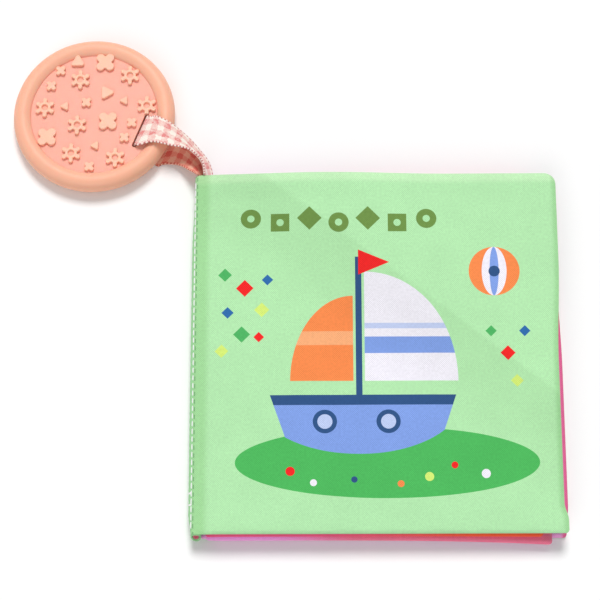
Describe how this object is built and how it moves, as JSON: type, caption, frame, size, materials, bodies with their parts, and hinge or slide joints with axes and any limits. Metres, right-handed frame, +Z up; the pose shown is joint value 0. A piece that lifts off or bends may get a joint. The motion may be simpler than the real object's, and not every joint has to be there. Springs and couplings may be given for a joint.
{
  "type": "crinkle cloth book",
  "caption": "Soft square cloth book with crinkling padded leaves that turn on a stitched spine, and a silicone teether on a ribbon.",
  "frame": {"origin": "centre of the back cover's underside, on the surface that the closed book lies on", "axes": "+X from the spine to the fore-edge, +Y along the spine towards the head of the book, +Z up out of the front cover"},
  "size_m": [0.1961, 0.1888, 0.0111],
  "materials": {
    "green_fabric": "printed polyester weave, pale green",
    "teal_fabric": "printed polyester weave, pale teal",
    "red_fabric": "printed polyester weave, orange-red",
    "pink_fabric": "printed polyester weave, pink-red",
    "lilac_fabric": "printed polyester weave, lilac pink",
    "wadding": "thin white polyester wadding",
    "crinkle_film": "thin crinkling plastic film",
    "white_thread": "white polyester sewing thread",
    "gingham_ribbon": "woven ribbon, pink and white gingham",
    "silicone": "soft satin food-grade silicone, peach"
  },
  "bodies": {
    "root": {"back_cover_outer": "green_fabric", "back_cover_wadding": "wadding", "back_cover_crinkle_film": "crinkle_film", "back_cover_inner": "lilac_fabric", "spine_outer_fold": "green_fabric", "spine_inner_fold": "red_fabric", "spine_thread": "white_thread", "ribbon_tail": "gingham_ribbon"},
    "leaf_3": {"leaf_3_back": "lilac_fabric", "leaf_3_wadding": "wadding", "leaf_3_crinkle_film": "crinkle_film", "leaf_3_front": "pink_fabric"},
    "leaf_2": {"leaf_2_back": "pink_fabric", "leaf_2_wadding": "wadding", "leaf_2_crinkle_film": "crinkle_film", "leaf_2_front": "red_fabric"},
    "front_cover": {"front_cover_inner": "teal_fabric", "front_cover_wadding": "wadding", "front_cover_crinkle_film": "crinkle_film", "front_cover_outer": "green_fabric"},
    "ribbon": {"ribbon_strap": "gingham_ribbon"},
    "teether": {"ribbon_loop": "gingham_ribbon", "teether_disc": "silicone"}
  },
  "joints": [
    {"name": "leaf_3_hinge", "type": "hinge", "parent": "root", "child": "leaf_3", "pos_m": [-0.0622, 0, 0.00525], "axis": [0, -1, 0], "range_deg": [0, 60]},
    {"name": "leaf_2_hinge", "type": "hinge", "parent": "leaf_3", "child": "leaf_2", "pos_m": [-0.0622, 0, 0.00525], "axis": [0, -1, 0], "range_deg": [0, 60]},
    {"name": "cover_hinge", "type": "hinge", "parent": "leaf_2", "child": "front_cover", "pos_m": [-0.0622, 0, 0.00525], "axis": [0, -1, 0], "range_deg": [0, 160]},
    {"name": "ribbon_swing", "type": "hinge", "parent": "root", "child": "ribbon", "pos_m": [-0.0622, 0.06645, 0.00525], "axis": [0, 0, -1], "range_deg": [-60, 80]},
    {"name": "teether_flap", "type": "hinge", "parent": "ribbon", "child": "teether", "pos_m": [-0.07005, 0.07821, 0.00473], "axis": [0.3681, 0.9298, 0], "range_deg": [0, 90]}
  ]
}
